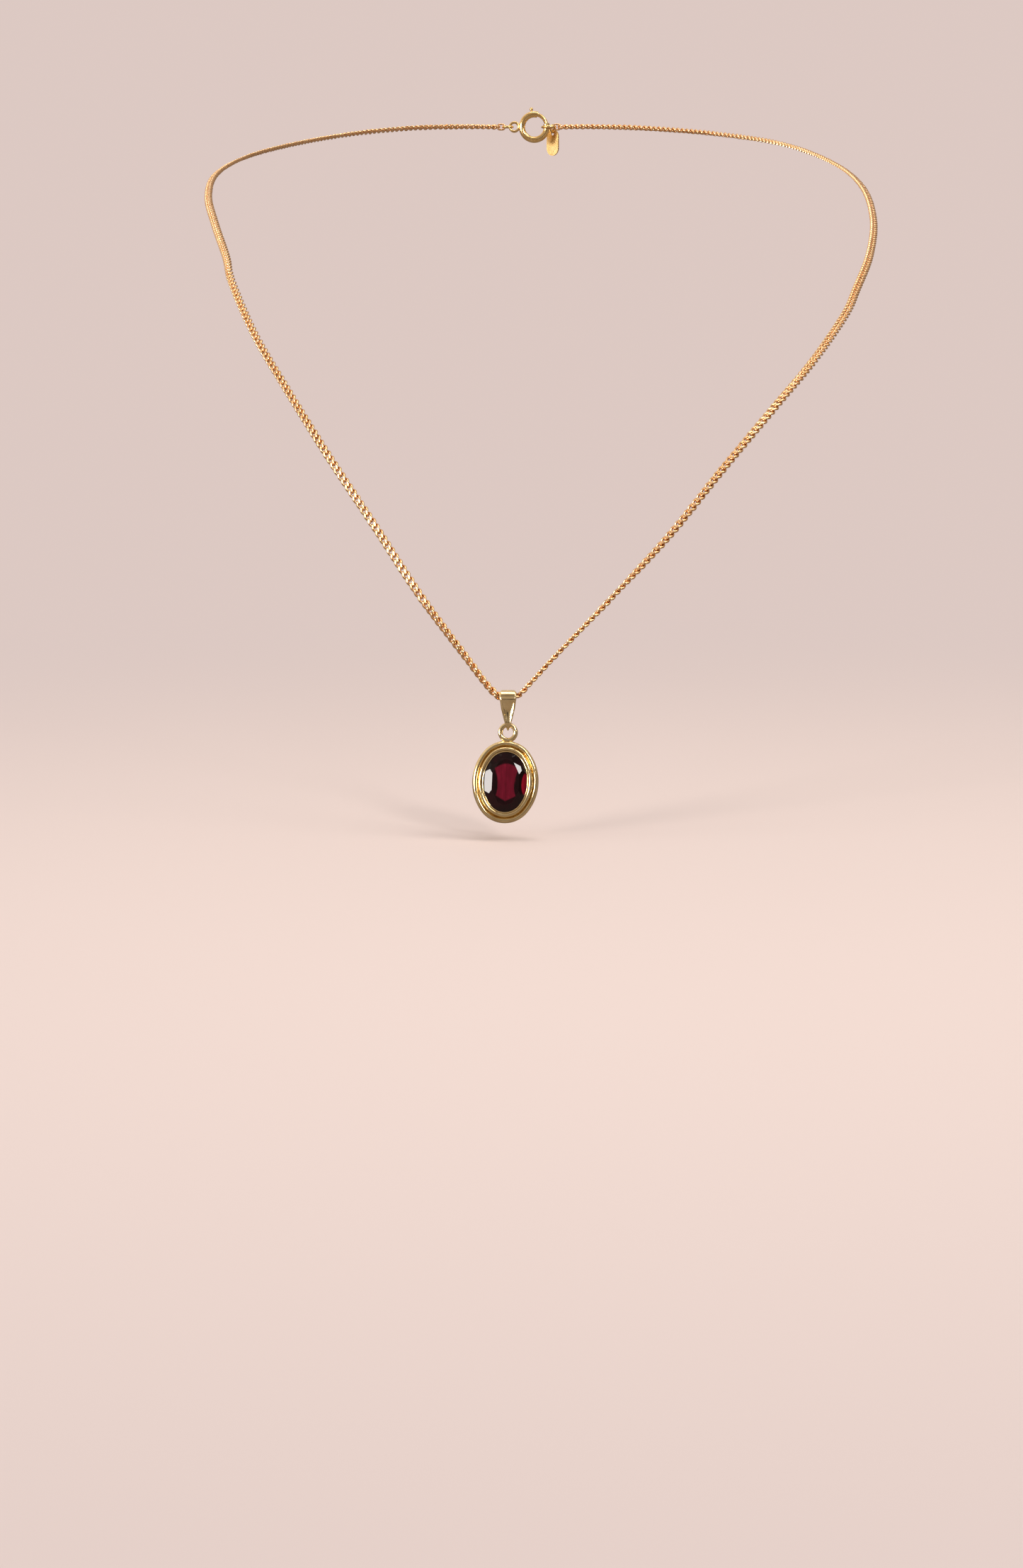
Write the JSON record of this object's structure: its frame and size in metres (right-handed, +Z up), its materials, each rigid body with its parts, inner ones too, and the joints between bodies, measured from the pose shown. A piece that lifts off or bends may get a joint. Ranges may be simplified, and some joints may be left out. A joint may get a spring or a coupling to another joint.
{
  "type": "pendant necklace",
  "caption": "Fine gold curb chain worn round the neck, with a bail and a bezel-set oval dark red stone pendant, closed by a bolt-ring clasp.",
  "frame": {"origin": "middle of the neck opening, level with the shoulders, on the vertical line that the necklace is worn round", "axes": "+X to the wearer's left, which is the viewer's right; +Y from the pendant to the nape; +Z up"},
  "size_m": [0.1019, 0.1649, 0.0984],
  "materials": {
    "chain_gold": "polished",
    "setting_gold": "polished",
    "clasp_gold": "polished",
    "garnet": "faceted and polished",
    "spring_steel": "drawn wire"
  },
  "bodies": {
    "side_chain": {"side_chain_left": "chain_gold", "side_chain_right": "chain_gold"},
    "front_upper_chain": {"front_chain_upper_left": "chain_gold", "front_chain_upper_right": "chain_gold"},
    "front_lower_chain": {"front_chain_lower_left": "chain_gold", "front_chain_lower_right": "chain_gold", "centre_links": "chain_gold"},
    "bail": {"bail": "setting_gold"},
    "pendant": {"pendant_ring": "setting_gold", "outer_frame": "setting_gold", "inner_bezel": "setting_gold", "bezel_lip": "setting_gold", "stone_seat": "setting_gold", "gallery": "setting_gold", "back_rail": "setting_gold", "garnet": "garnet"},
    "nape_chain": {"nape_chain_left": "chain_gold", "nape_chain_right": "chain_gold", "end_link_left": "chain_gold", "end_link_right": "chain_gold", "jump_ring": "clasp_gold", "catch_ring": "clasp_gold"},
    "bolt_ring": {"bolt_ring_tube": "clasp_gold", "bolt_ring_eye": "clasp_gold", "spring_stop": "clasp_gold", "bolt_spring": "spring_steel"},
    "bolt": {"bolt": "clasp_gold", "thumb_nib": "clasp_gold"},
    "tag_ring": {"tag_ring": "clasp_gold"},
    "tag": {"tag": "clasp_gold"}
  },
  "joints": [
    {"name": "drape_swing", "type": "hinge", "parent": "side_chain", "child": "front_upper_chain", "pos_m": [0.04822, -0.05053, -0.00941], "axis": [-0.997, 0.0498, 0.0595], "range_deg": [0, 75]},
    {"name": "drape_fold", "type": "hinge", "parent": "front_upper_chain", "child": "front_lower_chain", "pos_m": [0.02711, -0.08382, -0.03243], "axis": [-0.9966, 0.0665, 0.0494], "range_deg": [0, 40]},
    {"name": "bail_swing", "type": "hinge", "parent": "front_lower_chain", "child": "bail", "pos_m": [0, -0.0982, -0.0594], "axis": [-1, 0, 0], "range_deg": [0, 45]},
    {"name": "pendant_swing", "type": "hinge", "parent": "bail", "child": "pendant", "pos_m": [0, -0.09879, -0.06275], "axis": [-1, 0, 0], "range_deg": [0, 55]},
    {"name": "nape_lift", "type": "hinge", "parent": "side_chain", "child": "nape_chain", "pos_m": [-0.04438, 0.00836, 0.01088], "axis": [0.9987, 0.0513, 0], "range_deg": [0, 40]},
    {"name": "clasp_roll", "type": "hinge", "parent": "nape_chain", "child": "bolt_ring", "pos_m": [0.0045, 0.0615, 0.02], "axis": [1, 0, 0], "range_deg": [-30, 30]},
    {"name": "bolt_slide", "type": "hinge", "parent": "bolt_ring", "child": "bolt", "pos_m": [0.0045, 0.0615, 0.02], "axis": [0, -1, 0], "range_deg": [0, 58], "stiffness_Nm_per_rad": 0.0002, "springref_deg": -28.65, "deforming": ["bolt_spring"]},
    {"name": "tag_ring_swing", "type": "hinge", "parent": "nape_chain", "child": "tag_ring", "pos_m": [0.0078, 0.06238, 0.02], "axis": [0.766, -0.6428, 0], "range_deg": [-5, 75]},
    {"name": "tag_sway", "type": "hinge", "parent": "tag_ring", "child": "tag", "pos_m": [0.0078, 0.06238, 0.0191], "axis": [0.6428, 0.766, 0], "range_deg": [-15, 30]}
  ]
}
